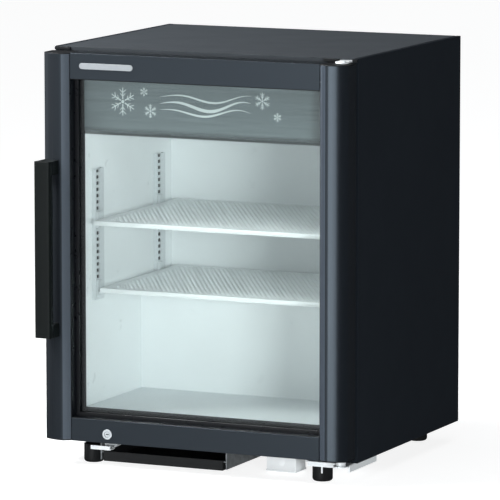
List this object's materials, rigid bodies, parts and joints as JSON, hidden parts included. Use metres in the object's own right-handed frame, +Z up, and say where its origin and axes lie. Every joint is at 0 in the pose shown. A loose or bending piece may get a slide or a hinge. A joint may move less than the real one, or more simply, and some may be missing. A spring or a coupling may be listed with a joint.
{
  "type": "counter-top glass-door refrigerator",
  "caption": "Counter-top drinks cooler with a hinged double-glazed door, long side handle, key lock, perforated shelves, drip tray and levelling feet.",
  "frame": {"origin": "on the floor, under the centre of the whole object's box, door and handle included", "axes": "+X to the right seen from the front, +Y from the door to the back, +Z up"},
  "size_m": [0.65, 0.621, 0.827],
  "materials": {
    "black_paint": "satin",
    "graphite_paint": "satin",
    "graphite_door": "satin",
    "rear_steel": "matte",
    "foam": "matte",
    "white_enamel": "gloss",
    "floor_steel": "satin",
    "black_plastic": "matte",
    "galvanised": "satin",
    "bright_zinc": "polished",
    "shelf_enamel": "gloss",
    "white_plastic": "satin",
    "lamp_lens": "gloss",
    "fin_aluminium": "satin",
    "motor_steel": "satin",
    "compressor_black": "gloss",
    "copper": "satin",
    "tray_plastic": "satin",
    "rubber": "matte",
    "foot_plastic": "satin",
    "clear_glass": "polished",
    "spacer": "matte",
    "border_rubber": "satin",
    "header_print": "satin",
    "handle_plastic": "satin",
    "badge_metal": "satin",
    "lock_chrome": "polished"
  },
  "bodies": {
    "cabinet": {"side_panel_left": "black_paint", "side_panel_right": "black_paint", "top_panel": "graphite_paint", "back_panel": "rear_steel", "rear_grille": "rear_steel", "base_pan": "black_paint", "insulation": "foam", "liner_sides": "white_enamel", "liner_ceiling": "white_enamel", "liner_floor": "floor_steel", "liner_back": "white_enamel", "liner_step": "white_enamel", "breaker_frame": "black_plastic", "machine_divider": "galvanised", "shelf_standards": "bright_zinc", "shelf_clips": "bright_zinc", "shelf_upper": "shelf_enamel", "shelf_lower": "shelf_enamel", "light_housing": "white_plastic", "light_lens": "lamp_lens", "evaporator_cover": "white_plastic", "evaporator_coil": "fin_aluminium", "fan_motors": "motor_steel", "compressor": "compressor_black", "condenser_coil": "fin_aluminium", "condenser_shroud": "galvanised", "refrigerant_lines": "copper", "tray_rails": "galvanised", "wiring_box": "white_plastic", "cord_gland": "rubber", "top_hinge_plate": "bright_zinc", "top_hinge_cover": "black_plastic", "bottom_hinge_bracket": "bright_zinc", "lock_keeper": "bright_zinc", "panel_screws": "bright_zinc"},
    "door": {"door_post_left": "graphite_door", "door_post_right": "graphite_door", "door_rail_top": "graphite_door", "door_rail_bottom": "graphite_door", "door_caps": "black_plastic", "glass_panes": "clear_glass", "glass_spacer": "spacer", "glazing_border": "border_rubber", "header_band": "header_print", "door_inner_trim": "black_plastic", "door_gasket": "rubber", "handle_grip": "handle_plastic", "handle_legs": "handle_plastic", "badge": "badge_metal", "lock_housing": "lock_chrome"},
    "lock": {"lock_plug": "lock_chrome"},
    "cold_fan": {"evaporator_fan": "black_plastic"},
    "warm_fan": {"condenser_fan": "black_plastic"},
    "knob": {"thermostat_knob": "black_plastic"},
    "rocker": {"light_switch": "white_plastic"},
    "tray": {"drip_tray": "tray_plastic"},
    "foot_fl": {"foot_front_left": "foot_plastic"},
    "foot_fr": {"foot_front_right": "foot_plastic"},
    "foot_rl": {"foot_rear_left": "foot_plastic"},
    "foot_rr": {"foot_rear_right": "foot_plastic"}
  },
  "joints": [
    {"name": "door_swing", "type": "hinge", "parent": "cabinet", "child": "door", "pos_m": [0.305, -0.2455, 0.434], "axis": [0, 0, 1], "range_deg": [0, 120]},
    {"name": "lock_turn", "type": "hinge", "parent": "door", "child": "lock", "pos_m": [-0.188, -0.2515, 0.068], "axis": [0, -1, 0], "range_deg": [0, 90]},
    {"name": "cold_fan_spin", "type": "hinge", "parent": "cabinet", "child": "cold_fan", "pos_m": [0, -0.1265, 0.728], "axis": [0, 1, 0], "continuous": true},
    {"name": "warm_fan_spin", "type": "hinge", "parent": "cabinet", "child": "warm_fan", "pos_m": [0.157, 0.2005, 0.149], "axis": [0, 1, 0], "continuous": true},
    {"name": "thermostat_turn", "type": "hinge", "parent": "cabinet", "child": "knob", "pos_m": [0.226, -0.1915, 0.752], "axis": [0, 1, 0], "range_deg": [0, 270]},
    {"name": "light_rocker", "type": "hinge", "parent": "cabinet", "child": "rocker", "pos_m": [0.258, -0.1795, 0.752], "axis": [-1, 0, 0], "range_deg": [0, 24]},
    {"name": "tray_slide", "type": "slide", "parent": "cabinet", "child": "tray", "axis": [0, -1, 0], "range_m": [0, 0.2]},
    {"name": "foot_fl_turn", "type": "hinge", "parent": "cabinet", "child": "foot_fl", "pos_m": [-0.248, -0.2035, 0.02], "axis": [0, 0, 1], "continuous": true},
    {"name": "foot_fr_turn", "type": "hinge", "parent": "cabinet", "child": "foot_fr", "pos_m": [0.248, -0.2035, 0.02], "axis": [0, 0, 1], "continuous": true},
    {"name": "foot_rl_turn", "type": "hinge", "parent": "cabinet", "child": "foot_rl", "pos_m": [-0.248, 0.2785, 0.02], "axis": [0, 0, 1], "continuous": true},
    {"name": "foot_rr_turn", "type": "hinge", "parent": "cabinet", "child": "foot_rr", "pos_m": [0.248, 0.2785, 0.02], "axis": [0, 0, 1], "continuous": true}
  ]
}
